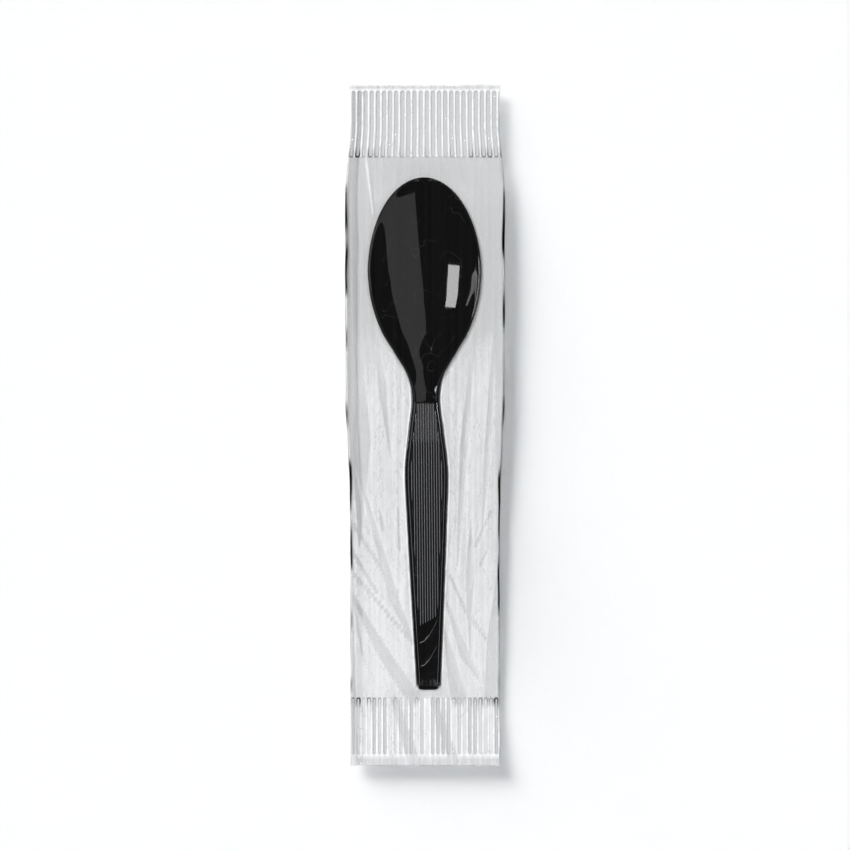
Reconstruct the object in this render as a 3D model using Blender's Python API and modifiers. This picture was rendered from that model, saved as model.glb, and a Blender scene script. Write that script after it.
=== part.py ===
"""A wrapped plastic teaspoon: one moulded spoon sealed inside a sleeve folded from one web of clear film.

The pack lies on its back. +Z is up, +Y runs from the handle towards the bowl and +X is to the right. The
origin is on the resting surface, under the middle of the sleeve. Sizes below are millimetres, and MM turns
them into Blender's metres.
"""

import math

import bmesh
import bpy
import numpy as np
from mathutils import Matrix, Vector

MM = 0.001

# The sleeve: one web of film folded into a flat tube, with its two edges sealed into a fin along the back.
PACK_LENGTH = 202.6
FILM = 0.06
LAYER_GAP = 0.06  # air between two layers of film that lie on each other
HEAD_SEAL = 21.7  # length of the flat sealed band past the bowl
TAIL_SEAL = 20.2  # length of the flat sealed band past the handle
FIN_WIDTH = 3.1
FIN_FOLD = -19.0  # where across the back the fin stands, before it is folded outwards
# (distance along the pack from its middle, half its width): it is drawn in at both seals and along the handle.
SLEEVE = [
    (-PACK_LENGTH / 2, 22.2),
    (-28.0, 22.2),
    (-4.0, 23.15),
    (7.0, 23.7),
    (66.0, 23.75),
    (79.5, 22.95),
    (90.0, 22.2),
    (PACK_LENGTH / 2, 22.2),
]

# The spoon, measured from its tip along its own axis.
SPOON_LENGTH = 152.4
TIP = (-0.4, 73.6)  # where the tip lies in the sleeve
SPOON_TURN = math.radians(0.56)  # the spoon lies a little askew
BOWL_HALF_WIDTH = 16.94
BOWL_WIDEST = 28.7
BOWL_DEPTH = 5.2
WALL = 1.3
RIM = 0.55  # flat lip round the bowl
HANDLE_START = 66.0
HANDLE_BLEND = 12.0  # the bowl's section turns into the handle's over this length
FLANGE = 3.1  # depth of the handle's turned-down sides
FLANGE_WALL = 1.1
END_RADIUS = 1.8
END_WALL = 1.2
SPOON_CLEARANCE = 0.3  # between the spoon and the film that it lies on
TENT_CLEARANCE = 0.8  # between the spoon and the middle of the film stretched over it
TENT_MARGIN = 3.2  # the film leaves the spoon this far outside its edge

# The sunk panel on the handle, with straight flutes that stop on a slant.
PANEL_START = 67.0
PANEL_END = 150.7
PANEL_BORDER = 1.4
PANEL_SINK = 0.3
FLUTE_PITCH = 0.745
FLUTES_A_SIDE = 6
FLUTE_HEIGHT = 0.14
FLUTE_STOP = 132.2  # where the middle flute ends
FLUTE_SLANT = -0.84  # how much further the next one runs, for each millimetre across

# (distance from the tip, half width), from the bowl's widest place to the end of the handle.
OUTLINE = [
    (28.7, 16.94),
    (39.7, 15.2),
    (45.7, 13.0),
    (52.0, 9.3),
    (58.8, 5.6),
    (66.0, 4.25),
    (74.9, 5.2),
    (88.4, 6.45),
    (101.8, 5.95),
    (125.7, 4.87),
    (152.4, 3.65),
]
# (distance from the tip, height of the bowl's lip or of the handle's border above the film under the spoon).
PROFILE = [
    (0.0, 5.2),
    (28.7, 6.5),
    (50.0, 8.1),
    (66.0, 9.9),
    (82.0, 11.3),
    (96.0, 11.3),
    (120.0, 8.9),
    (152.4, FLANGE),
]
# (distance from the tip, depth of the hollow below that line), past the bowl's widest place.
HOLLOW = [
    (28.6, BOWL_DEPTH),
    (28.7, BOWL_DEPTH),
    (37.0, 4.85),
    (46.0, 3.75),
    (56.0, 1.9),
    (66.0, 0.6),
    (74.0, 0.3),
]


def smooth_through(points, x):
    """The height at x of a curve through the points, which doesn't swing past them."""
    xs, ys = zip(*points)
    if x <= xs[0]:
        return ys[0]
    if x >= xs[-1]:
        return ys[-1]
    slopes = [(ys[i + 1] - ys[i]) / (xs[i + 1] - xs[i]) for i in range(len(xs) - 1)]
    tangents = [slopes[0]]
    for before, after in zip(slopes, slopes[1:]):
        level = before * after <= 0
        tangents.append(0.0 if level else 2 * before * after / (before + after))
    tangents.append(slopes[-1])
    i = max(k for k in range(len(xs) - 1) if xs[k] <= x)
    span = xs[i + 1] - xs[i]
    t = (x - xs[i]) / span
    return (
        (1 + 2 * t) * (1 - t) ** 2 * ys[i]
        + t * (1 - t) ** 2 * span * tangents[i]
        + t * t * (3 - 2 * t) * ys[i + 1]
        + t * t * (t - 1) * span * tangents[i + 1]
    )


def ease(t):
    t = min(max(t, 0.0), 1.0)
    return t * t * (3 - 2 * t)


def mix(a, b, share):
    return a + (b - a) * share


def half_width(s):
    """Half the spoon's width, s along it from the tip: an ellipse, the drawn outline, then rounded corners."""
    if s < BOWL_WIDEST:
        return BOWL_HALF_WIDTH * math.sqrt(max(1 - (1 - s / BOWL_WIDEST) ** 2, 0))
    width = smooth_through(OUTLINE, s)
    past = s - (SPOON_LENGTH - END_RADIUS)
    if past > 0:
        width -= END_RADIUS - math.sqrt(max(END_RADIUS**2 - past**2, 0))
    return width


def hollow_depth(s):
    if s < BOWL_WIDEST:
        return BOWL_DEPTH * (1 - (1 - s / BOWL_WIDEST) ** 2)
    return smooth_through(HOLLOW, s)


TOP_STEPS = 2 * FLUTES_A_SIDE
UNDER_STEPS = 6


def half_section(s, side):
    """(across, height) points from the middle of the top, out round the edge and back under to the middle."""
    width = half_width(s)
    lip = smooth_through(PROFILE, s)
    depth = hollow_depth(s)
    to_handle = ease((s - HANDLE_START + HANDLE_BLEND) / HANDLE_BLEND)
    in_panel = PANEL_START < s < PANEL_END
    panel_edge = max(width - PANEL_BORDER, 0.45 * width)
    lip_in = max(width - RIM, 0.7 * width)
    points = []
    for k in range(TOP_STEPS):
        flute_u = min(k * FLUTE_PITCH / 2, panel_edge * (1 - 0.004 * (TOP_STEPS - k)))
        u = mix(k / TOP_STEPS * lip_in, flute_u, to_handle)
        z = lip - depth * (1 - (u / lip_in) ** 2) * (1 - ease((s - HANDLE_START) / 10))
        if in_panel:
            z = lip - PANEL_SINK
            flute_end = FLUTE_STOP + FLUTE_SLANT * side * u
            if k % 2 == 0 and flute_u < panel_edge - 0.25 and s < flute_end:
                z += FLUTE_HEIGHT
        points.append((u, z))
    border = mix(lip_in, panel_edge, to_handle)
    points.append((border, lip - (PANEL_SINK if in_panel else 0)))
    points.append((mix(mix(border, width, 0.4), border + 0.2, to_handle), lip))
    points.append((width * 0.96, lip))
    points.append((width, lip - 0.25))

    inner = max(width - FLANGE_WALL, 0.35 * width)
    points.append((width, lip - mix(0.7, FLANGE - 0.2, to_handle)))
    points.append((mix(0.98 * width, width - 0.25, to_handle), lip - mix(0.85, FLANGE, to_handle)))
    points.append((mix(0.95 * width, inner, to_handle), lip - mix(0.95, FLANGE, to_handle)))
    solid_end = s > SPOON_LENGTH - END_WALL
    handle_under = lip - (FLANGE if solid_end else WALL + PANEL_SINK)
    for k in range(UNDER_STEPS + 1):
        t = 1 - k / UNDER_STEPS
        wall = mix(WALL * math.sqrt(1 + (2 * depth * t / max(width, 1)) ** 2), 1.1, t**8)
        bowl_under = lip - depth * (1 - t * t) - wall
        u = mix(0.92 * width * t, inner * t * (0.99 if k == 0 else 1), to_handle)
        points.append((u, mix(bowl_under, handle_under, to_handle)))
    return points


def spoon_stations():
    """Where the sections stand: close together at the tip, at the panel's ends and at the rounded end."""
    at = [BOWL_WIDEST * (1 - math.cos(math.radians(a))) for a in (5, 13, 22, 32, 42, 53, 65, 78)]
    at += list(np.arange(BOWL_WIDEST, HANDLE_START - 2, 4.1))
    at += [HANDLE_START, PANEL_START - 0.1, PANEL_START + 0.1]
    at += list(np.arange(72.0, 126.0, 6.0))
    at += list(np.arange(127.8, 137.0, 1.4))
    at += [143.0, PANEL_END - 0.1, PANEL_END + 0.1, SPOON_LENGTH - END_WALL - 0.05]
    at += [SPOON_LENGTH - END_WALL + 0.05, SPOON_LENGTH - 0.6, SPOON_LENGTH - 0.15, SPOON_LENGTH]
    return at


def loft(name, rings):
    """One closed mesh through rings of equally many points, with a face at each end."""
    count = len(rings[0])
    vertices = [point for ring in rings for point in ring]
    faces = [tuple(range(count)), tuple(reversed(range(len(vertices) - count, len(vertices))))]
    for start in range(0, len(vertices) - count, count):
        for j in range(count):
            k = (j + 1) % count
            faces.append((start + k, start + j, start + count + j, start + count + k))
    mesh = bpy.data.meshes.new(name)
    mesh.from_pydata(vertices, [], faces)
    return mesh


def spoon_rings():
    """The sections in the spoon's own axes: tip at the origin, handle towards -Y, lowest point at height 0."""
    rings = []
    for s in spoon_stations():
        right = half_section(s, 1)
        left = half_section(s, -1)
        ring = right + [(-u, z) for u, z in reversed(left[1:-1])]
        rings.append([(u, -s, z) for u, z in ring])
    return rings


LAYER = FILM + LAYER_GAP
BACK = FILM / 2 + 2 * LAYER  # height of the back panel, which lies on the fin's two layers
SPOON_FLOOR = BACK + FILM / 2 + SPOON_CLEARANCE


def make_spoon(collection):
    rings = spoon_rings()
    low = min(z for ring in rings for u, y, z in ring)
    mesh = loft("spoon", rings)
    place = Matrix.Translation((TIP[0], TIP[1], SPOON_FLOOR - low)) @ Matrix.Rotation(SPOON_TURN, 4, "Z")
    mesh.transform(Matrix.Scale(MM, 4) @ place)
    mesh.shade_smooth()
    mesh.set_sharp_from_angle(angle=math.radians(35))
    return add_object("spoon", mesh, collection)


def spoon_edge():
    """(x, y, film height) along both of the spoon's edges, with the height that the film has there."""
    low = min(z for ring in spoon_rings() for u, y, z in ring)
    edge = []
    for s in np.linspace(0, SPOON_LENGTH, 90):
        for u in (-half_width(s), half_width(s)):
            x = TIP[0] + u * math.cos(SPOON_TURN) + s * math.sin(SPOON_TURN)
            y = TIP[1] + u * math.sin(SPOON_TURN) - s * math.cos(SPOON_TURN)
            edge.append((x, y, smooth_through(PROFILE, s) - low + SPOON_FLOOR + TENT_CLEARANCE))
    return edge


def front_height(x, y, edge):
    """Height of the front panel: flat at the seals and sides, and stretched like a tent over the spoon."""
    flat = BACK + LAYER
    inside = smooth_through(SLEEVE, y) - abs(x)
    inside = min(inside, PACK_LENGTH / 2 - HEAD_SEAL - y, y + PACK_LENGTH / 2 - TAIL_SEAL)
    if inside <= 0:
        return flat
    near = min(edge, key=lambda point: math.hypot(point[0] - x, point[1] - y))
    s = (x - TIP[0]) * math.sin(SPOON_TURN) + (TIP[1] - y) * math.cos(SPOON_TURN)
    u = (x - TIP[0]) * math.cos(SPOON_TURN) - (TIP[1] - y) * math.sin(SPOON_TURN)
    away = math.hypot(near[0] - x, near[1] - y) - TENT_MARGIN
    if 0 < s < SPOON_LENGTH and abs(u) < half_width(s):
        away = 0
    share = inside / (inside + max(away, 0))
    return flat + (near[2] - flat) * share**1.2


def film_section(y, edge):
    """(x, height) along the web at one place in the pack, from one of its edges round to the other."""
    wide = smooth_through(SLEEVE, y)
    bend = LAYER / 2
    fin = FIN_FOLD - LAYER
    points = [(fin - FIN_WIDTH, FILM / 2 + LAYER), (fin, FILM / 2 + LAYER)]
    points += [(fin + bend, BACK - bend), (fin, BACK), (-wide + bend, BACK), (-wide, BACK + bend)]
    for t in np.linspace(-1, 1, 23):
        x = t * (wide - bend)
        points.append((x, front_height(x, y, edge)))
    points += [(wide, BACK + bend), (wide - bend, BACK), (11.0, BACK), (0.0, BACK), (-11.0, BACK)]
    points += [(FIN_FOLD + bend, BACK), (FIN_FOLD + 2 * bend, BACK - bend)]
    points += [(FIN_FOLD + 2 * bend, FILM / 2 + bend), (FIN_FOLD + bend, FILM / 2)]
    points.append((fin - FIN_WIDTH, FILM / 2))
    return points


def film_stations():
    """Where the web is bent lengthwise: at the seals' edges, and every few millimetres over the spoon."""
    head = PACK_LENGTH / 2 - HEAD_SEAL
    tail = TAIL_SEAL - PACK_LENGTH / 2
    tip = TIP[1] + 1.2
    end = TIP[1] - SPOON_LENGTH - 0.8
    at = [-PACK_LENGTH / 2, tail - 0.2, tail]
    at += list(np.linspace(end, tip, 30))
    at += [head, head + 0.2, PACK_LENGTH / 2 - 10, PACK_LENGTH / 2]
    return at


def make_film(collection):
    """The flat web of film, folded round the spoon, then given its thickness."""
    edge = spoon_edge()
    sections = [(y, film_section(y, edge)) for y in film_stations()]
    web = bmesh.new()
    columns = len(sections[0][1])
    bmesh.ops.create_grid(web, x_segments=columns - 1, y_segments=len(sections) - 1, size=1.0)
    web.verts.ensure_lookup_table()
    for i, (y, section) in enumerate(sections):
        for j, (x, z) in enumerate(section):
            web.verts[i * columns + j].co = Vector((x, y, z)) * MM
    mesh = bpy.data.meshes.new("film_wrapper")
    web.to_mesh(mesh)
    web.free()
    mesh.shade_smooth()
    film = add_object("film_wrapper", mesh, collection)
    thickness = film.modifiers.new("Film thickness", "SOLIDIFY")
    thickness.thickness = FILM * MM
    thickness.offset = 0.0
    thickness.use_rim = True
    return film


def add_object(name, mesh, collection):
    made = bpy.data.objects.new(name, mesh)
    collection.objects.link(made)
    return made


def add_material(made, name, colour, roughness, transmission=0.0):
    material = bpy.data.materials.new(name)
    material.use_nodes = True
    shader = material.node_tree.nodes["Principled BSDF"]
    shader.inputs["Base Color"].default_value = (*colour, 1.0)
    shader.inputs["Roughness"].default_value = roughness
    shader.inputs["Metallic"].default_value = 0.0
    shader.inputs["Transmission Weight"].default_value = transmission
    made.data.materials.append(material)


for old in list(bpy.data.objects):
    bpy.data.objects.remove(old, do_unlink=True)

pack = bpy.data.collections.new("plastic_cutlery_pack")
bpy.context.scene.collection.children.link(pack)

spoon = make_spoon(pack)
add_material(spoon, "Black polystyrene", (0.012, 0.012, 0.013), 0.16)

film_wrapper = make_film(pack)
add_material(film_wrapper, "Clear film", (0.93, 0.94, 0.95), 0.08, transmission=0.9)
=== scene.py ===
import math

import bmesh
import bpy
import numpy as np
from mathutils import Matrix, Quaternion, Vector


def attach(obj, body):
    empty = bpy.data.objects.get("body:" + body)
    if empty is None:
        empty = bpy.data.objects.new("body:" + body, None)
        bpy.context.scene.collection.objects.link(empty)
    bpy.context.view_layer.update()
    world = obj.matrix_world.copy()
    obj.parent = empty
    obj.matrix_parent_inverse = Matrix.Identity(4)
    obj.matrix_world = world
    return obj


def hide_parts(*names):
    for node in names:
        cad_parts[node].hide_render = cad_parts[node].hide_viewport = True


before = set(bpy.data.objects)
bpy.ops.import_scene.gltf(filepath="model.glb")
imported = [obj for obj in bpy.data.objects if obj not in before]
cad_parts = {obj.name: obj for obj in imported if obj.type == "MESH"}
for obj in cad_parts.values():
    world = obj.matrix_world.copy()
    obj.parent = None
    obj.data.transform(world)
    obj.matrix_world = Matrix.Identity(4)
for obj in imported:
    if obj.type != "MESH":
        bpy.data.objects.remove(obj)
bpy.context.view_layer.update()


# The spoon: a heavyweight teaspoon, injection moulded in one shot of black general-purpose polystyrene.
# The bowl is a thin shell with a flat lip, and the handle is an upside-down channel whose top holds a
# sunk panel of straight flutes. It is lofted from cross-sections along its length.
MM = 0.001
SPOON_LENGTH = 152.4
TIP = (-0.4, 73.6)  # where the tip lies in the sleeve
SPOON_TURN = math.radians(0.56)
SPOON_FLOOR = 0.6  # the bowl and the handle's end rest this high, on the back of the film
BOWL_HALF_WIDTH = 16.94
BOWL_WIDEST = 28.7
BOWL_DEPTH = 5.2
WALL = 1.3
LIP = 0.6
HANDLE_START = 66.0
HANDLE_BLEND = 12.0
FLANGE = 3.1
FLANGE_WALL = 1.1
END_RADIUS = 1.8
PANEL_START = 66.9
PANEL_END = 150.7
PANEL_BORDER = 1.4
PANEL_SINK = 0.3
FLUTE_PITCH = 0.742
FLUTE_HEIGHT = 0.2
STEPS_A_FLUTE = 8
FLUTE_COLUMNS = 8 * STEPS_A_FLUTE

# (distance from the tip, half width), from the bowl's widest place to the end of the handle.
OUTLINE = np.array(
    [
        (28.7, 16.94),
        (34.0, 16.45),
        (39.7, 15.2),
        (45.7, 13.0),
        (52.0, 9.3),
        (58.8, 5.5),
        (62.5, 4.5),
        (66.0, 4.25),
        (74.9, 5.2),
        (88.4, 6.45),
        (101.8, 5.95),
        (125.7, 4.87),
        (152.4, 3.6),
    ]
)
# (distance from the tip, height of the bowl's lip or of the handle's border above the spoon's lowest point).
PROFILE = np.array(
    [
        (0.0, 5.2),
        (28.7, 6.5),
        (50.0, 8.1),
        (66.0, 9.9),
        (82.0, 11.3),
        (96.0, 11.3),
        (120.0, 8.9),
        (152.4, FLANGE),
    ]
)
# (distance from the tip, depth of the hollow below that line), past the bowl's widest place.
HOLLOW = np.array(
    [(28.6, BOWL_DEPTH), (28.7, BOWL_DEPTH), (37.0, 4.85), (46.0, 3.75), (56.0, 1.9), (66.0, 0.45), (74.0, 0.0)]
)


def smooth_through(points, at):
    """The height at each place of a curve through the points, which doesn't swing past them."""
    xs, ys = points.T
    slopes = np.diff(ys) / np.diff(xs)
    turns = slopes[:-1] * slopes[1:] > 0
    inner = np.where(turns, 2 * slopes[:-1] * slopes[1:] / np.where(turns, slopes[:-1] + slopes[1:], 1), 0)
    tangents = np.concatenate([slopes[:1], inner, slopes[-1:]])
    at = np.clip(at, xs[0], xs[-1])
    i = np.clip(np.searchsorted(xs, at, side="right") - 1, 0, len(xs) - 2)
    span = xs[i + 1] - xs[i]
    t = (at - xs[i]) / span
    ends = (1 + 2 * t) * (1 - t) ** 2 * ys[i] + t * t * (3 - 2 * t) * ys[i + 1]
    bends = t * (1 - t) ** 2 * tangents[i] + t * t * (t - 1) * tangents[i + 1]
    return ends + span * bends


def ease(t):
    """A step from 0 to 1 with soft ends, as t goes from 0 to 1."""
    t = np.clip(t, 0, 1)
    return t * t * (3 - 2 * t)


def mix(a, b, share):
    """The value at this share of the way from a to b."""
    return a + (b - a) * share


def spoon_half_width(s):
    """Half of the spoon's width, this far from the tip of its bowl."""
    s = np.asarray(s, float)
    bowl = BOWL_HALF_WIDTH * np.sqrt(np.clip(1 - (1 - s / BOWL_WIDEST) ** 2, 0, 1))
    past_corner = np.clip(s - SPOON_LENGTH + END_RADIUS, 0, None)
    corner = END_RADIUS - np.sqrt(np.clip(END_RADIUS**2 - past_corner**2, 0, None))
    return np.where(s < BOWL_WIDEST, bowl, smooth_through(OUTLINE, s) - corner)


def spoon_depth(s):
    """How deep the spoon is hollowed, this far from the tip of its bowl."""
    return np.where(s < BOWL_WIDEST, BOWL_DEPTH * (1 - (1 - s / BOWL_WIDEST) ** 2), smooth_through(HOLLOW, s))


def panel_ornament(u, s):
    """Height of the flutes, and of the two thin curved ridges past their slanting end."""
    flute_end = 132.4 - 0.55 * u - 0.03 * u * u
    rib = (0.5 + 0.5 * np.cos(2 * np.pi * u / FLUTE_PITCH)) ** 1.6
    height = FLUTE_HEIGHT * rib * ease((flute_end - s) / 0.5) * ease((s - PANEL_START) / 0.5)
    for left, right, s_left, s_right in ((-2.3, 3.2, 138.2, 130.6), (-2.0, 2.8, 145.2, 138.6)):
        across = np.clip((u - left) / (right - left), 0, 1)
        line = mix(s_left, s_right, across**1.7)
        height = height + 0.2 * np.exp(-(((s - line) / 0.34) ** 2))
    return height


def spoon_half_section(s, side):
    """(across, height, painted highlight) from the middle of the top, round the edge, and back under to the middle.
    """
    width = float(spoon_half_width(s))
    lip = float(smooth_through(PROFILE, s))
    depth = float(spoon_depth(s))
    to_handle = float(ease((s - HANDLE_START + HANDLE_BLEND) / HANDLE_BLEND))
    sink = PANEL_SINK * float(ease((s - PANEL_START + 0.3) / 0.6) * ease((PANEL_END + 0.3 - s) / 0.6))
    panel_edge = max(width - PANEL_BORDER, 0.45 * width)
    lip_in = max(width - LIP, 0.8 * width)
    k = np.arange(FLUTE_COLUMNS)
    on_flute = np.minimum(k * FLUTE_PITCH / STEPS_A_FLUTE, panel_edge * (1 - 0.0008 * (FLUTE_COLUMNS - k)))
    u = mix(k / FLUTE_COLUMNS * lip_in, on_flute, to_handle)
    hollow = depth * (1 - (u / lip_in) ** 2) ** 1.08
    z = lip - hollow - sink
    inside = ease((panel_edge - 0.15 - u) / 0.3)
    in_panel = PANEL_START - 0.1 < s < PANEL_END - 0.6
    raised = inside * panel_ornament(side * u, s) if in_panel else 0 * u
    top = list(zip(u, z + raised, np.clip(raised / FLUTE_HEIGHT, 0, 1)))
    border = mix(lip_in, panel_edge, to_handle)
    # Share of the way across the border, drop below it, and painted highlight: its two corners are painted pale,
    # where they would catch the light.
    steps = (
        (0.0, sink, 0),
        (0.12, sink * 0.5, 0),
        (0.25, 0.05, 1 if sink > 0.2 else 0),
        (0.4, 0.0, 0),
        (0.72, 0.0, 0),
        (0.86, 0.04, 0.96),
        (0.96, 0.14, 0),
    )
    for share, drop, highlight_share in steps:
        top.append((mix(border, width, share), lip - drop, highlight_share))
    # The outer edge is painted pale too: a painted highlight.
    top.append((width, lip - 0.3, 1))
    inner = max(width - FLANGE_WALL, 0.35 * width)
    foot = mix(0.85, FLANGE, to_handle)
    top.append((width, lip - mix(0.6, FLANGE - 0.35, to_handle), 0))
    top.append((mix(0.99 * width, width - 0.1, to_handle), lip - mix(0.78, FLANGE - 0.12, to_handle), 0))
    top.append((mix(0.97 * width, width - 0.35, to_handle), lip - foot, 0))
    top.append((mix(0.95 * width, inner + 0.15, to_handle), lip - foot - mix(0.05, 0, to_handle), 0))
    end_wall = float(ease((s - SPOON_LENGTH + 1.3) / 0.2))
    handle_under = lip - mix(WALL + PANEL_SINK, FLANGE, end_wall)
    t = np.linspace(1, 0, 17)
    wall = mix(WALL * np.sqrt(1 + (2 * depth * t / max(width, 1)) ** 2), 1.0, t**8)
    bowl_under = lip - depth * (1 - t * t) - wall
    under_u = mix(0.93 * width * t, inner * t, to_handle)
    top += list(zip(under_u, mix(bowl_under, handle_under, to_handle), 0 * t))
    return top


def spoon_stations():
    """Sections stand closest at the tip, round the panel's ends and at the rounded end."""
    tip = BOWL_WIDEST * (1 - np.cos(np.radians(np.linspace(2.0, 88, 56))))
    return np.concatenate(
        [
            tip,
            np.arange(BOWL_WIDEST, 66.0, 0.8),
            np.arange(66.0, 68.0, 0.2),
            np.arange(68.0, 129.0, 1.0),
            np.arange(129.0, 147.0, 0.22),
            np.arange(147.0, 150.0, 0.6),
            np.arange(150.0, 152.3, 0.12),
            [152.33, SPOON_LENGTH],
        ]
    )


def grid_piece(name, rows):
    """A mesh from one rectangular grid, whose points are then moved to these rows of places in mm."""
    rows = np.asarray(rows, float)
    shaped = bmesh.new()
    bmesh.ops.create_grid(shaped, x_segments=rows.shape[1] - 1, y_segments=rows.shape[0] - 1, size=1.0)
    for vert, place in zip(shaped.verts, rows.reshape(-1, 3) * MM):
        vert.co = place
    mesh = bpy.data.meshes.new(name)
    piece = bpy.data.objects.new(name, mesh)
    bpy.context.scene.collection.objects.link(piece)
    return piece, shaped


sections = []
for s in spoon_stations():
    right = spoon_half_section(s, 1)
    left = spoon_half_section(s, -1)
    ring = right + [(-u, z, highlight_share) for u, z, highlight_share in reversed(left[1:-1])] + right[:1]
    sections.append([(u, -s, z, highlight_share) for u, z, highlight_share in ring])
sections = np.array(sections)
sections[:, :, 2] += SPOON_FLOOR - sections[:, :, 2].min()
spoon, moulding = grid_piece("teaspoon", sections[:, :, :3])
painted_highlight = moulding.verts.layers.float.new("painted_highlight")
for vert, highlight_share in zip(moulding.verts, sections[:, :, 3].ravel()):
    vert[painted_highlight] = highlight_share
bmesh.ops.remove_doubles(moulding, verts=moulding.verts, dist=1e-6)
bmesh.ops.holes_fill(moulding, edges=[e for e in moulding.edges if e.is_boundary], sides=0)
bmesh.ops.recalc_face_normals(moulding, faces=moulding.faces)
turned = Matrix.Translation((TIP[0] * MM, TIP[1] * MM, 0)) @ Matrix.Rotation(SPOON_TURN, 4, "Z")
bmesh.ops.transform(moulding, matrix=turned, verts=moulding.verts)
moulding.to_mesh(spoon.data)
moulding.free()
spoon.data.shade_smooth()
spoon.data.set_sharp_from_angle(angle=math.radians(50))


def linear(hex_colour):
    """An sRGB hex colour as the linear RGBA that shaders take."""
    channels = [int(hex_colour[i : i + 2], 16) / 255 for i in (1, 3, 5)]
    return (*(c / 12.92 if c <= 0.04045 else ((c + 0.055) / 1.055) ** 2.4 for c in channels), 1.0)


def add(tree, kind, inputs=(), **settings):
    """Adds a node. An input is given a value, or the output socket that feeds it."""
    node = tree.nodes.new(kind)
    for name, value in settings.items():
        setattr(node, name, value)
    shown = {i.name: i for i in reversed(node.inputs) if i.enabled}
    for name, value in dict(inputs).items():
        socket = node.inputs[name] if isinstance(name, int) else shown[name]
        if isinstance(value, bpy.types.NodeSocket):
            tree.links.new(value, socket)
        else:
            socket.default_value = value
    return node


def result_of(node):
    """The output of a Mix node that is in use: it holds one for each kind of data."""
    return next(o for o in node.outputs if o.enabled)


def new_material(name):
    """An empty material with its output, and the tree that its nodes go in."""
    material = bpy.data.materials.new(name)
    material.use_nodes = True
    material.node_tree.nodes.clear()
    output = material.node_tree.nodes.new("ShaderNodeOutputMaterial")
    return material, material.node_tree, output


# Black polystyrene from a polished mould: almost a mirror, with a faint waviness where the melt shrank and
# a slightly softer gloss in patches, which blurs the reflections here and there. The flutes' crests, the
# border's corners and the outer edge are painted pale: a painted highlight, where they would catch the light.
polystyrene, tree, output = new_material("black polystyrene, gloss moulded")
place = add(tree, "ShaderNodeTexCoord").outputs["Object"]
flow = add(tree, "ShaderNodeTexNoise", {"Vector": place, "Scale": 1 / (9 * MM), "Detail": 2.0})
patches = add(tree, "ShaderNodeTexNoise", {"Vector": place, "Scale": 1 / (4 * MM), "Detail": 4.0})
softness = add(
    tree,
    "ShaderNodeMapRange",
    {"Value": patches.outputs["Fac"], "From Min": 0.35, "From Max": 0.7, "To Min": 0.02, "To Max": 0.06},
)
# Pale colour on the crests and edges: a painted highlight.
highlight_attribute = add(tree, "ShaderNodeAttribute", attribute_name="painted_highlight")
crest = add(tree, "ShaderNodeMapRange", {"Value": highlight_attribute.outputs["Fac"], "From Min": 0.8, "From Max": 1.0})
colour = add(
    tree,
    "ShaderNodeMix",
    {"Factor": crest.outputs["Result"], "A": linear("#151516"), "B": linear("#dcdcde")},
    data_type="RGBA",
)
waviness = add(tree, "ShaderNodeBump", {"Height": flow.outputs["Fac"], "Distance": 0.05 * MM, "Strength": 0.35})
plastic = add(
    tree,
    "ShaderNodeBsdfPrincipled",
    {
        "Base Color": result_of(colour),
        "Roughness": softness.outputs["Result"],
        "IOR": 1.55,
        "Normal": waviness.outputs["Normal"],
    },
)
tree.links.new(plastic.outputs["BSDF"], output.inputs["Surface"])
spoon.data.materials.append(polystyrene)

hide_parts("spoon")
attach(spoon, "root")


# The sleeve: one web of clear polypropylene film, 0.035 mm thick, folded into a tube on a flow-wrap machine.
# Its two edges are sealed into a narrow fin that lies folded on the back, and ribbed jaws crimp and cut both
# ends. The front is stretched over the bowl's lip and the handle, and it creases between them and the seals.
PACK_LENGTH = 202.6
SEAL_HALF_WIDTH = 22.2
LAYER = 0.12  # how far one layer of film lies from the next
BACK = 0.03 + 2 * LAYER
HEAD_SEAL = 21.7
TAIL_SEAL = 20.2
FIN_WIDTH = 3.1
FIN_FOLD = -19.0
HEAD_CURL, TAIL_CURL = 0.6, 1.6  # how far the cut ends of the two seals have lifted
# (distance along the pack, half width): it is drawn in at both seals and along the handle.
SLEEVE = np.array(
    [
        (-PACK_LENGTH / 2, SEAL_HALF_WIDTH),
        (-28.0, SEAL_HALF_WIDTH),
        (-4.0, 23.1),
        (7.0, 23.6),
        (66.0, 23.75),
        (79.5, 22.95),
        (90.0, SEAL_HALF_WIDTH),
        (PACK_LENGTH / 2, SEAL_HALF_WIDTH),
    ]
)
# (distance along the pack, height of the side folds): the tube stands open round the spoon.
FOLD_HEIGHT = np.array([(-82.0, 1.5), (-60.0, 2.2), (-20.0, 3.4), (40.0, 4.3), (66.0, 3.8), (80.5, 2.3)])
COLUMNS = 225
FIN_COLUMN = round((1 + FIN_FOLD / SEAL_HALF_WIDTH) / 2 * (COLUMNS - 1))
HEAD_INNER = PACK_LENGTH / 2 - HEAD_SEAL
TAIL_INNER = TAIL_SEAL - PACK_LENGTH / 2

# The jaws' grooves: pitch and width of a groove, where it starts and ends, and how deep it is pressed.
HEAD_GROOVES = (1.82, 1.26, 79.8, 99.5, 0.22)
TAIL_GROOVES = (1.58, 1.0, -98.0, -81.3, 0.18)
GROOVE_FLANK = 0.2


def in_groove(x, y, grooves):
    """The number of the groove nearest to each place, and how far the place is from that groove's middle line."""
    pitch, width, low, high = grooves[:4]
    flat_x = x * SEAL_HALF_WIDTH / smooth_through(SLEEVE, y) + SEAL_HALF_WIDTH
    across = np.mod(flat_x, pitch) - pitch / 2
    along = np.maximum(np.maximum(low + width / 2 - y, y - high + width / 2), 0)
    return np.floor(flat_x / pitch), np.hypot(across, along)


def pressed(x, y, grooves):
    """Depth that the jaw has pressed the seal at this place: a row of long round-ended dents."""
    width, depth = grooves[1], grooves[4]
    off = in_groove(x, y, grooves)[1]
    return depth * ease((width / 2 + GROOVE_FLANK / 2 - off) / GROOVE_FLANK)


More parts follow.
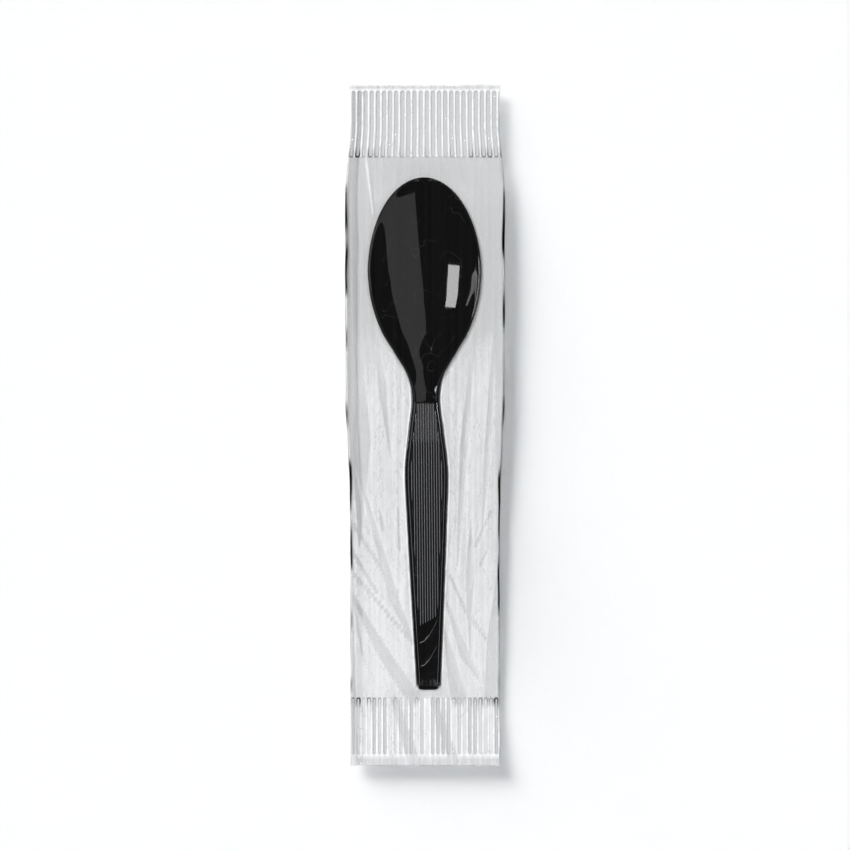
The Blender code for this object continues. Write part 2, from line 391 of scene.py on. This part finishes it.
def columns_at(y, wide):
    """Where the web's columns stand across one panel: evenly, or crowded at the grooves' flanks in a seal."""
    t = np.linspace(0, 1, COLUMNS)
    if TAIL_INNER < y < HEAD_INNER:
        return (2 * t - 1) * wide
    pitch, width = (HEAD_GROOVES if y > 0 else TAIL_GROOVES)[:2]
    turns = t * 2 * SEAL_HALF_WIDTH / pitch
    low = 0.5 - (width + GROOVE_FLANK) / 2 / pitch
    high = 0.5 - (width - GROOVE_FLANK) / 2 / pitch
    within = np.interp(turns % 1, (0, 0.09, 0.3, 0.7, 0.91, 1), (0, low, high, 1 - high, 1 - low, 1))
    return ((np.floor(turns) + within) * pitch / SEAL_HALF_WIDTH - 1) * wide


# Creases in the front of the film: two ends, how high the crease stands and how wide it is.
CREASES = [
    ((-19.0, 98.5), (-17.5, 79.0), 0.10, 0.5),
    ((-17.5, 79.0), (-14.5, 57.0), 0.35, 0.9),
    ((14.5, 25.5), (11.5, -7.5), 0.40, 1.3),
    ((11.5, -7.5), (9.5, -40.0), 0.35, 1.3),
    ((20.5, 24.0), (18.5, -7.5), 0.30, 1.2),
    ((18.5, -7.5), (17.0, -31.0), 0.30, 1.2),
    ((-9.0, 25.5), (-9.0, -10.5), 0.30, 1.3),
    ((-20.0, -13.5), (-9.0, -52.0), 0.40, 1.2),
    ((-9.0, -52.0), (-3.0, -64.0), 0.30, 1.0),
    ((-22.0, -52.0), (-12.0, -68.5), 0.35, 1.2),
    ((-12.0, -68.5), (-4.5, -79.0), 0.30, 1.0),
    ((6.0, -63.0), (10.0, -79.5), 0.35, 1.1),
    ((6.5, -54.5), (11.5, -67.5), 0.40, 1.2),
    ((11.5, -67.5), (17.5, -76.5), 0.35, 1.1),
    ((13.5, -37.5), (13.0, -67.5), 0.30, 1.0),
    ((13.0, -67.5), (14.5, -72.0), 0.20, 0.8),
    ((9.5, -37.5), (9.5, -45.0), 0.15, 0.8),
    ((20.5, -48.5), (19.0, -64.5), 0.30, 1.0),
    ((19.0, -64.5), (18.5, -81.0), 0.30, 1.0),
    ((6.0, -54.0), (13.0, -56.0), 0.15, 0.5),
    ((13.0, -56.0), (18.0, -56.0), 0.12, 0.5),
]
# Smooth bands where the film is pulled tight and stays clear, between the clouded, crinkled stretches:
# two ends, and the width at each.
CLEAR_BANDS = [
    ((14.5, 27.0), (11.5, -7.5), 0.6, 2.4),
    ((11.5, -7.5), (9.5, -42.0), 2.4, 0.3),
    ((20.5, 26.0), (18.5, -7.5), 0.5, 1.8),
    ((18.5, -7.5), (17.0, -33.0), 1.8, 0.2),
    ((-15.0, 28.0), (-12.8, 12.0), 0.5, 2.4),
    ((-12.8, 12.0), (-10.3, -9.0), 2.4, 0.2),
    ((-20.5, 29.0), (-19.0, -5.0), 2.0, 6.0),
    ((-19.0, -5.0), (-19.5, -36.0), 6.0, 0.3),
    ((-20.0, -13.5), (-9.0, -52.0), 0.8, 2.6),
    ((-9.0, -52.0), (-3.5, -65.0), 2.6, 1.0),
    ((-22.0, -50.0), (-12.0, -68.5), 1.0, 3.4),
    ((-12.0, -68.5), (-3.5, -81.0), 3.4, 4.0),
    ((-21.5, -62.0), (-21.0, -101.0), 0.6, 2.2),
    ((5.5, -60.0), (10.0, -81.0), 0.6, 4.6),
    ((6.5, -53.0), (11.5, -67.5), 0.6, 2.6),
    ((11.5, -67.5), (16.5, -76.5), 2.6, 0.3),
    ((13.6, -28.0), (13.4, -44.0), 0.2, 2.6),
    ((13.4, -44.0), (13.2, -57.0), 2.6, 1.0),
    ((13.2, -57.0), (13.5, -68.5), 1.0, 0.2),
    ((21.5, -46.0), (20.0, -64.5), 0.4, 3.0),
    ((20.0, -64.5), (19.5, -81.0), 3.0, 3.6),
    ((-21.0, -30.0), (-8.0, -50.0), 0.9, 1.0),
    ((-22.0, -37.0), (-14.0, -50.0), 1.0, 0.8),
    ((-21.5, -44.0), (-5.0, -63.0), 0.8, 0.9),
    ((-13.5, -24.5), (-12.5, -31.0), 0.3, 1.0),
    ((-8.0, -25.0), (-7.5, -37.0), 0.3, 0.7),
    ((-21.0, -53.5), (-18.5, -68.5), 0.3, 0.6),
    ((7.5, -45.0), (12.0, -55.0), 0.8, 1.0),
    ((12.0, -55.0), (18.5, -64.0), 1.0, 0.7),
    ((19.5, -26.0), (15.0, -36.0), 0.7, 0.7),
    ((18.5, -37.0), (16.5, -41.5), 0.3, 0.6),
    ((-9.0, -82.0), (-3.0, -101.0), 2.4, 3.4),
    ((2.5, -82.0), (9.0, -101.0), 2.0, 3.0),
]
# The long crease that the film takes from the head seal to the bowl, painted into the haze as a bright thin line: a
# painted highlight.
HEAD_CREASE_HIGHLIGHT = [((-19.0, 98.5), (-17.5, 79.0), 0.3, 0.7), ((-17.5, 79.0), (-15.5, 63.0), 0.9, 0.5)]


def from_line(x, y, start, end):
    """Each place's share of the way along a line, its distance to the side of it, and past its ends."""
    (x0, y0), (x1, y1) = start, end
    length = math.hypot(x1 - x0, y1 - y0)
    along = ((x - x0) * (x1 - x0) + (y - y0) * (y1 - y0)) / length
    aside = ((x - x0) * (y1 - y0) - (y - y0) * (x1 - x0)) / length
    return along / length, aside, np.maximum(np.maximum(-along, along - length), 0)


def within_bands(x, y, bands):
    """1 at a place in the middle of a band, and 0 away from them all."""
    share = np.zeros_like(x)
    for start, end, start_width, end_width in bands:
        along, aside, past = from_line(x, y, start, end)
        half = mix(start_width, end_width, np.clip(along, 0, 1)) / 2
        share = np.maximum(share, ease((half + 0.25 - np.hypot(aside, past)) / 0.5))
    return share


def clouding(x, y, away):
    """How hazy the front of the film is: least over the spoon, where it lies tight, and most where it crinkles,
    with painted highlights along a crease and the handle's sides.
    """
    tight = within_bands(x, y, CLEAR_BANDS)
    # The crinkled part starts on a ragged line beside the bowl and stops at the side folds.
    crinkled = ease((30 - y + 4 * np.sin(x / 2.3)) / 22) * (1 - tight) * ease((SEAL_HALF_WIDTH - np.abs(x)) / 1.5)
    fade = mix(0.3, 1.3, ease((y - 8) / 10))
    body = 0.002 + (0.16 + 0.32 * crinkled) * ease(away / fade) + 0.45 * within_bands(x, y, HEAD_CREASE_HIGHLIGHT)
    # A painted highlight: a bright line of haze where the film bends down off the handle's sides.
    body = body + 0.45 * ease(1 - np.abs(away - 0.3) / 0.3) * ease((18 - y) / 6) * ease((y + 76) / 4)
    head = ease((y - HEAD_GROOVES[2] + 0.1) / 0.3)
    tail = ease((TAIL_GROOVES[3] - y + 0.1) / 0.3)
    dents = [pressed(x, y, grooves) / grooves[4] for grooves in (HEAD_GROOVES, TAIL_GROOVES)]
    ridge = 1 - np.maximum(*dents)
    number = in_groove(x, y, TAIL_GROOVES)[0]
    bottom = 0.1 + 0.42 * ease(0.5 + np.sin(number * 1.9) * np.sin(number * 0.83 + 2))
    seal = head * mix(0.11, 0.8, ridge) + tail * mix(bottom, 0.8, ridge) * (1 - 0.5 * tight)
    margin = ease(np.maximum(y - HEAD_GROOVES[3] - 0.1, TAIL_GROOVES[2] - y - 0.1) / 0.3)
    return np.where(head + tail > 0, mix(seal, 0.33, margin), body)


def painted_groove_shade(x, y, grooves):
    """A painted dark line, painted shade, round a groove's inner end and along its sides, stronger on some grooves
    than on others.
    """
    width, low, high = grooves[1:4]
    number, off = in_groove(x, y, grooves)
    line = ease((0.3 - np.abs(off - width / 2)) / 0.2)
    uneven = ease((np.abs(x) - 8) / 12) * (0.6 + 0.4 * np.sin(number * 2.4)) + 0.3 * ease(np.sin(number * 1.7))
    inner = low if low > 0 else high
    near_end = ease(1 - np.abs(y - inner) / 4)
    return line * (0.1 + 0.8 * uneven * near_end)


# Small wrinkles that the film takes up by itself, most of them along the handle's sides.
WRINKLES = 150
dice = np.random.default_rng(11)
for _ in range(WRINKLES):
    x0 = dice.uniform(7, 21) * dice.choice((-1, 1))
    y0 = dice.uniform(-80, 30)
    lean = dice.normal(0, 0.35) + math.copysign(0.25, x0) * (1 if y0 > -40 else -1.6) * -1
    run = dice.uniform(4, 13)
    x1 = x0 + run * math.sin(lean)
    y1 = y0 - run * math.cos(lean)
    CREASES.append(((x0, y0), (x1, y1), dice.uniform(-0.10, 0.14), dice.uniform(0.3, 0.8)))


def crease_height(x, y):
    """How high the creases and wrinkles lift the film at each place."""
    height = np.zeros_like(x)
    for start, end, rise, width in CREASES:
        _, aside, past = from_line(x, y, start, end)
        height += rise * np.exp(-np.sqrt(aside**2 + 0.01) / width) * np.exp(-((past / (1.5 + width)) ** 2))
    return height


# The line that the film is stretched over: the spoon's outer edge, a hair above its lip and border.
edge_s = np.concatenate([np.linspace(0, 8, 20), np.linspace(8.2, SPOON_LENGTH, 600)])
edge = []
for side in (-1, 1):
    u = side * spoon_half_width(edge_s)
    edge.append(
        np.stack(
            [
                TIP[0] + u * math.cos(SPOON_TURN) + edge_s * math.sin(SPOON_TURN),
                TIP[1] + u * math.sin(SPOON_TURN) - edge_s * math.cos(SPOON_TURN),
                smooth_through(PROFILE, edge_s) + SPOON_FLOOR + 0.25,
            ],
            axis=1,
        )
    )
edge = np.concatenate(edge)


def reach_to_spoon(x, y):
    """Height of the nearest stretch of the spoon's edge, and how far outside that edge each place lies."""
    reach = np.hypot(edge[:, 0] - x[:, None], edge[:, 1] - y[:, None])
    weight = 1 / (reach + 0.3) ** 6
    top = (weight * edge[:, 2]).sum(axis=1) / weight.sum(axis=1)
    s = (x - TIP[0]) * math.sin(SPOON_TURN) + (TIP[1] - y) * math.cos(SPOON_TURN)
    u = (x - TIP[0]) * math.cos(SPOON_TURN) - (TIP[1] - y) * math.sin(SPOON_TURN)
    on_spoon = (s > 0) & (s < SPOON_LENGTH) & (np.abs(u) < spoon_half_width(s))
    return top, np.where(on_spoon, 0, reach.min(axis=1))


def front_height(x, y, fold, top, away):
    """Height of the front panel over each place: stretched from the folds and seals up over the spoon."""
    wide = smooth_through(SLEEVE, y)
    inside = np.minimum(np.minimum(wide - np.abs(x), HEAD_INNER - y), y - TAIL_INNER)
    share = np.clip(inside / np.maximum(inside + away, 1e-6), 0, 1)
    height = fold + (top - fold) * share**1.15
    free = ease(away / 2.0) * ease(inside / 1.5)
    return np.where(inside <= 0, fold, height) + np.where(inside > 0, free * crease_height(x, y), 0)


EDGE_TURNS = np.radians([20, 40, 60, 80])


def film_section(y):
    """Places along the web at one distance along the pack, from one of its edges round to the other."""
    wide = float(smooth_through(SLEEVE, y)) + 0.1 * math.sin(y / 3.1) * math.sin(y / 7.7 + 1)
    fold = float(smooth_through(FOLD_HEIGHT, y))
    lift = HEAD_CURL * float(ease((y - HEAD_INNER) / HEAD_SEAL))
    lift = lift + TAIL_CURL * float(ease((TAIL_INNER - y) / TAIL_SEAL))
    open_share = float(ease((HEAD_INNER - y) / 6) * ease((y - TAIL_INNER) / 6))
    round_off = LAYER / 2 + open_share * (0.2 + 0.22 * math.sin(y / 5.3 + 0.7) * math.sin(y / 13.0))
    x = columns_at(y, wide - round_off)
    here = np.full_like(x, y)
    dent = pressed(x, here, HEAD_GROOVES) + pressed(x, here, TAIL_GROOVES) - lift
    top, away = reach_to_spoon(x, here)
    front = front_height(x, here, fold + round_off, top, away) - dent
    flat_half = mix(0.4, 0.3, float(ease((y - 5) / 20))) * wide
    outward = (np.abs(x) - flat_half) / (wide - flat_half)
    curl = 0.5 * ease(outward) + 0.5 * np.clip(outward, 0, 1)
    low = mix(fold - round_off, BACK, float(ease((HEAD_INNER - y) / 14) * ease((y - TAIL_INNER) / 14)))
    back = low + (fold - round_off - low) * curl - dent
    root = x[FIN_COLUMN]
    under = back[FIN_COLUMN]
    fin_x = root - FIN_WIDTH * np.linspace(0.2, 1, 5)
    fin_z = np.interp(fin_x, x, back)
    turn_x = wide - round_off * (1 - np.sin(EDGE_TURNS))
    turn_z = fold + lift + round_off * np.cos(EDGE_TURNS)
    turn_under = fold + lift - round_off * np.cos(EDGE_TURNS)
    cloud = clouding(x, here, away)
    painted_dark_lines = np.clip(painted_groove_shade(x, here, HEAD_GROOVES) + painted_groove_shade(x, here, TAIL_GROOVES), 0, 1)
    behind = 0.6 * cloud if not TAIL_INNER < y < HEAD_INNER else 0.04 + 0 * cloud
    nothing = 0 * x
    # The painted dark line of each side fold, a painted shade where the film turns, comes and goes along the pack.
    patchy = [
        open_share * float(ease(0.4 + 1.5 * math.sin(y / near + 2) * math.sin(y / far)))
        for near, far in ((5.2, 9.0), (6.7, 12.5))
    ]
    painted_dark_lines = np.maximum(painted_dark_lines, np.where(x < 0, *patchy) * ease((np.abs(x) - wide + round_off + 0.5) / 0.25))
    left_line, right_line = ((0.25 * cloud[-1] * (1 - share), 0.2 + 0.8 * share) for share in patchy)
    cloud = cloud * (1 - painted_dark_lines)
    # From the fin's lower flap over the left of the back, the left fold, the front, the right fold and back.
    section = [(fx, fz, 0, 0) for fx, fz in zip(fin_x[::-1], (fin_z - LAYER)[::-1])]
    section += [(root - 0.2, under - LAYER, 0, 0), (root - 0.12, under - LAYER / 2, 0, 0.1)]
    section += list(zip(x, back, behind, nothing))[FIN_COLUMN - 1 :: -1]
    section += [(-tx, tz, *left_line) for tx, tz in zip(turn_x, turn_under)]
    section.append((-wide, fold + lift, *left_line))
    section += [(-tx, tz, *left_line) for tx, tz in zip(turn_x[::-1], turn_z[::-1])]
    section += list(zip(x, front, cloud, painted_dark_lines))
    section += [(tx, tz, *right_line) for tx, tz in zip(turn_x, turn_z)]
    section.append((wide, fold + lift, *right_line))
    section += [(tx, tz, *right_line) for tx, tz in zip(turn_x[::-1], turn_under[::-1])]
    section += list(zip(x, back, behind, nothing))[:FIN_COLUMN:-1]
    section += [(root, under - 0.03, 0, 0.1), (root - 0.06, under - 2 * LAYER, 0, 0.1)]
    section += [(fx, fz, 0, 0) for fx, fz in zip(fin_x, fin_z - 2 * LAYER)]
    return section


# Sections stand closest at the grooves' ends, where the film changes most.
rows_at = np.concatenate(
    [
        [-PACK_LENGTH / 2, -99.5],
        np.arange(-98.2, -97.0, 0.15),
        np.linspace(-96.8, -82.4, 9),
        np.arange(-82.2, -80.9, 0.15),
        np.arange(-80.8, HEAD_INNER - 0.4, 1.16),
        np.arange(79.2, 81.0, 0.15),
        np.linspace(81.3, 98.2, 10),
        np.arange(98.4, 99.8, 0.15),
        [100.4, PACK_LENGTH / 2],
    ]
)
web_rows = []
for y in rows_at:
    web_rows.append([(x, y, *rest) for x, *rest in film_section(float(y))])
web_rows = np.array(web_rows)
sleeve, web = grid_piece("film_sleeve", web_rows[:, :, :3])
bmesh.ops.recalc_face_normals(web, faces=web.faces)
web.to_mesh(sleeve.data)
web.free()
sleeve.data.shade_smooth()
for name, column in (("cloud", 3), ("painted_edge_shade", 4)):
    layer = sleeve.data.attributes.new(name, "FLOAT", "POINT")
    layer.data.foreach_set("value", web_rows[:, :, column].ravel())

# Cast polypropylene, clear and glossy on both faces. A sheet mirrors about a thirteenth of the light that meets
# it squarely and far more at a slant, and the rest shows through with a slight grey. Drawing leaves faint lines
# along the web, and handling leaves soft crinkles, a milky haze where they are dense, and broken hairlines.
polypropylene, tree, output = new_material("clear polypropylene film")
place = add(tree, "ShaderNodeTexCoord").outputs["Object"]
along_web = add(tree, "ShaderNodeMapping", {"Vector": place, "Scale": (1.0, 0.01, 0.15)})
drawn = add(
    tree, "ShaderNodeTexNoise", {"Vector": along_web.outputs["Vector"], "Scale": 1 / (1.2 * MM), "Detail": 3.0}
)
crinkle_place = add(tree, "ShaderNodeMapping", {"Vector": place, "Scale": (1.0, 0.45, 1.0)})
crinkles = add(
    tree, "ShaderNodeTexNoise", {"Vector": crinkle_place.outputs["Vector"], "Scale": 1 / (5 * MM), "Detail": 4.0}
)
lines = add(tree, "ShaderNodeBump", {"Height": drawn.outputs["Fac"], "Distance": 0.02 * MM, "Strength": 0.6})
surface = add(
    tree,
    "ShaderNodeBump",
    {
        "Height": crinkles.outputs["Fac"],
        "Distance": 0.15 * MM,
        "Strength": 0.5,
        "Normal": lines.outputs["Normal"],
    },
)
# So thin a sheet mirrors alike from inside and outside, so its share of gloss comes from the slant alone.
slant = add(tree, "ShaderNodeLayerWeight", {"Blend": 0.5, "Normal": surface.outputs["Normal"]})
both_faces = add(
    tree,
    "ShaderNodeMapRange",
    {"Value": slant.outputs["Facing"], "From Min": 0.42, "From Max": 0.58, "To Min": 0.075, "To Max": 1.0},
    interpolation_type="SMOOTHSTEP",
)
# This attribute tints the film near black along the side folds and round the grooves' ends: painted shade.
folded = add(tree, "ShaderNodeAttribute", attribute_name="painted_edge_shade")
tint = add(
    tree,
    "ShaderNodeMix",
    {"Factor": folded.outputs["Fac"], "A": (0.985, 0.986, 0.988, 1.0), "B": (0.01, 0.01, 0.011, 1.0)},
    data_type="RGBA",
)
clear = add(tree, "ShaderNodeBsdfTransparent", {"Color": result_of(tint)})
gloss = add(
    tree,
    "ShaderNodeBsdfAnisotropic",
    {"Color": result_of(tint), "Roughness": 0.08, "Normal": surface.outputs["Normal"]},
)
film = add(
    tree,
    "ShaderNodeMixShader",
    {0: both_faces.outputs["Result"], 1: clear.outputs["BSDF"], 2: gloss.outputs["BSDF"]},
)
# The haze is uneven: mottled, broken by fine creases, and streaked along the web.
clouded = add(tree, "ShaderNodeAttribute", attribute_name="cloud")
mottle_place = add(tree, "ShaderNodeMapping", {"Vector": place, "Rotation": (0, 0, 0.5), "Scale": (1.0, 0.5, 1.0)})
mottle = add(
    tree,
    "ShaderNodeTexNoise",
    {"Vector": mottle_place.outputs["Vector"], "Scale": 1 / (2.6 * MM), "Detail": 6.0, "Roughness": 0.65},
)
patch = add(
    tree,
    "ShaderNodeMapRange",
    {"Value": mottle.outputs["Fac"], "From Min": 0.35, "From Max": 0.65, "To Min": 0.9, "To Max": 1.1},
)
crease_place = add(tree, "ShaderNodeMapping", {"Vector": place, "Rotation": (0, 0, 0.3), "Scale": (1.0, 0.25, 1.0)})
creasing = add(
    tree,
    "ShaderNodeTexNoise",
    {"Vector": crease_place.outputs["Vector"], "Scale": 1 / (3.5 * MM), "Detail": 5.0, "Roughness": 0.6},
)
past_crease = add(tree, "ShaderNodeMath", {0: creasing.outputs["Fac"], 1: 0.5}, operation="SUBTRACT")
off_crease = add(tree, "ShaderNodeMath", {0: past_crease.outputs["Value"]}, operation="ABSOLUTE")
fine_creases = add(
    tree,
    "ShaderNodeMapRange",
    {"Value": off_crease.outputs["Value"], "From Min": 0.0, "From Max": 0.012, "To Min": 0.55, "To Max": 1.0},
)
crinkled = add(
    tree,
    "ShaderNodeMath",
    {0: patch.outputs["Result"], 1: fine_creases.outputs["Result"]},
    operation="MULTIPLY",
)
mottled_haze = add(
    tree,
    "ShaderNodeMath",
    {0: clouded.outputs["Fac"], 1: crinkled.outputs["Value"]},
    operation="MULTIPLY",
)
streaks = add(
    tree,
    "ShaderNodeMapRange",
    {"Value": drawn.outputs["Fac"], "From Min": 0.35, "From Max": 0.65, "To Min": -0.42, "To Max": 0.42},
)
faint = add(tree, "ShaderNodeMath", {0: clouded.outputs["Fac"], 1: 0.17}, operation="MINIMUM")
streaked_haze = add(
    tree,
    "ShaderNodeMath",
    {0: faint.outputs["Value"], 1: streaks.outputs["Result"], 2: mottled_haze.outputs["Value"]},
    operation="MULTIPLY_ADD",
)
rubbing = add(tree, "ShaderNodeTexNoise", {"Vector": place, "Scale": 1 / (9 * MM), "Detail": 2.0})
past_hair = add(tree, "ShaderNodeMath", {0: rubbing.outputs["Fac"], 1: 0.5}, operation="SUBTRACT")
off_hair = add(tree, "ShaderNodeMath", {0: past_hair.outputs["Value"]}, operation="ABSOLUTE")
hairlines = add(
    tree,
    "ShaderNodeMapRange",
    {"Value": off_hair.outputs["Value"], "From Min": 0.0, "From Max": 0.003, "To Min": 1.0, "To Max": 0.0},
)
handled = add(tree, "ShaderNodeTexNoise", {"Vector": place, "Scale": 1 / (6 * MM), "Detail": 2.0})
broken = add(
    tree,
    "ShaderNodeMapRange",
    {"Value": handled.outputs["Fac"], "From Min": 0.45, "From Max": 0.58, "To Min": 0.0, "To Max": 0.05},
)
haze = add(
    tree,
    "ShaderNodeMath",
    {0: hairlines.outputs["Result"], 1: broken.outputs["Result"], 2: streaked_haze.outputs["Value"]},
    operation="MULTIPLY_ADD",
    use_clamp=True,
)
milky = add(tree, "ShaderNodeBsdfDiffuse", {"Color": linear("#f4f5f6")})
clouded_film = add(
    tree, "ShaderNodeMixShader", {0: haze.outputs["Value"], 1: film.outputs["Shader"], 2: milky.outputs["BSDF"]}
)
tree.links.new(clouded_film.outputs["Shader"], output.inputs["Surface"])
sleeve.data.materials.append(polypropylene)

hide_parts("film_wrapper")
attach(sleeve, "root")


# The table: a wide flat sheet painted matt white, which takes the pack's soft shadow.
bpy.ops.mesh.primitive_plane_add(size=3.0, location=(0, 0, 0))
table = bpy.context.object
table.name = "table"
white, tree, output = new_material("white paint")
paint = add(tree, "ShaderNodeBsdfDiffuse", {"Color": linear("#f6f6f6")})
tree.links.new(paint.outputs["BSDF"], output.inputs["Surface"])
table.data.materials.append(white)

# A grey card the shape of the pack lies under it: a painted shade sheet, so that the clear film is seen against one
# even, darker tone.
CARD_MARGIN = 0.5
CARD_HEIGHT = 0.015
card_rows = []
for y in np.linspace(-101, 101, 80):
    reach = float(smooth_through(SLEEVE, y)) - CARD_MARGIN
    card_rows.append([(-reach, y, CARD_HEIGHT), (reach, y, CARD_HEIGHT)])
card, board = grid_piece("card", card_rows)
board.to_mesh(card.data)
board.free()
grey, tree, output = new_material("pale grey card")
painted_shade_grey = add(tree, "ShaderNodeBsdfDiffuse", {"Color": linear("#dedede")})
tree.links.new(painted_shade_grey.outputs["BSDF"], output.inputs["Surface"])
card.data.materials.append(grey)

# The studio: weak even light from all round, soft boxes that the spoon and the film mirror, and far lamps that
# aren't mirrored. One straight above lights everything, and one low on the left casts the shadow on the table.
world = bpy.data.worlds.new("studio")
world.use_nodes = True
world.node_tree.nodes["Background"].inputs["Color"].default_value = (0.92, 0.96, 1.0, 1.0)
world.node_tree.nodes["Background"].inputs["Strength"].default_value = 0.12
world.cycles_visibility.glossy = False
bpy.context.scene.world = world


def direction_of(from_zenith, azimuth):
    """A direction this many degrees off straight above, on the side that azimuth gives, from +X round by +Y."""
    off, round_by = math.radians(from_zenith), math.radians(azimuth)
    return Vector((math.sin(off) * math.cos(round_by), math.sin(off) * math.sin(round_by), math.cos(off)))


def soft_box(name, from_zenith, azimuth, distance, width, height, power, roll=0):
    """An area light aimed at the pack, with its size and distance in metres and turned about its own axis."""
    light = bpy.data.lights.new(name, "AREA")
    light.shape = "RECTANGLE"
    light.size = width
    light.size_y = height
    light.energy = power
    lamp = bpy.data.objects.new(name, light)
    direction = direction_of(from_zenith, azimuth)
    lamp.location = direction * distance
    turn = direction.to_track_quat("Z", "Y") @ Quaternion((0, 0, 1), math.radians(roll))
    lamp.rotation_euler = turn.to_euler()
    bpy.context.scene.collection.objects.link(lamp)
    return lamp


def lit_only(lamp, pieces):
    """Keeps a lamp to these pieces, as a flag or a screen in the studio would."""
    lit = bpy.data.collections.new(lamp.name + "_lights")
    for piece in pieces:
        lit.objects.link(piece)
    lamp.light_linking.receiver_collection = lit


def far_lamp(name, from_zenith, azimuth, spread, power):
    """A distant lamp that isn't mirrored, with the angle of the sky that it fills."""
    light = bpy.data.lights.new(name, "SUN")
    light.angle = math.radians(spread)
    light.energy = power
    lamp = bpy.data.objects.new(name, light)
    lamp.rotation_euler = direction_of(from_zenith, azimuth).to_track_quat("Z", "Y").to_euler()
    lamp.visible_glossy = False
    bpy.context.scene.collection.objects.link(lamp)
    return lamp


# The bright window and the broad grey panel that the bowl mirrors, and a thin line by its right-hand lip.
key = soft_box("key", 40, 158.5, 1.0, 0.28, 0.22, 2.15, roll=15)
lit_only(key, (spoon,))
flag = soft_box("grey_flag", 26.4, 16, 1.2, 1.35, 0.87, 2.6)
lit_only(flag, (spoon,))
strip = soft_box("strip", 57, 172, 1.2, 0.6, 0.025, 0.17)
lit_only(strip, (spoon,))
# Low soft boxes on both sides show the film's creases and folds.
for name, azimuth in (("left_wing", -140), ("right_wing", -40)):
    lit_only(soft_box(name, 42, azimuth, 1.2, 1.0, 0.9, 1.6), (sleeve,))
for name, azimuth in (("left_bank", 180), ("right_bank", 0)):
    lit_only(soft_box(name, 70, azimuth, 1.2, 1.8, 0.35, 3), (sleeve,))
top = far_lamp("top", 4, 140, 12, 1.1)
top.data.color = (0.94, 0.96, 1.0)
fill = far_lamp("fill", 4, 140, 12, 1.97)
fill.data.color = (1.0, 0.985, 0.965)
lit_only(fill, (card, sleeve))
side = far_lamp("side", 69, 129, 36, 5.65)
side.data.color = (1.0, 0.995, 0.98)
lit_only(side, (table,))
blockers = bpy.data.collections.new("side_is_blocked_by")
blockers.objects.link(sleeve)
side.light_linking.blocker_collection = blockers

# The camera looks straight down on the front, far off with a long lens.
VIEW_WIDTH = 253.3
lens = bpy.data.cameras.new("camera")
lens.sensor_width = 36.0
lens.lens = 300.0
camera = bpy.data.objects.new("camera", lens)
camera.location = (0, 0, lens.lens / lens.sensor_width * VIEW_WIDTH * MM)
lens.clip_start = 0.05
bpy.context.scene.collection.objects.link(camera)
bpy.context.scene.camera = camera
bpy.context.scene.view_settings.view_transform = "Standard"
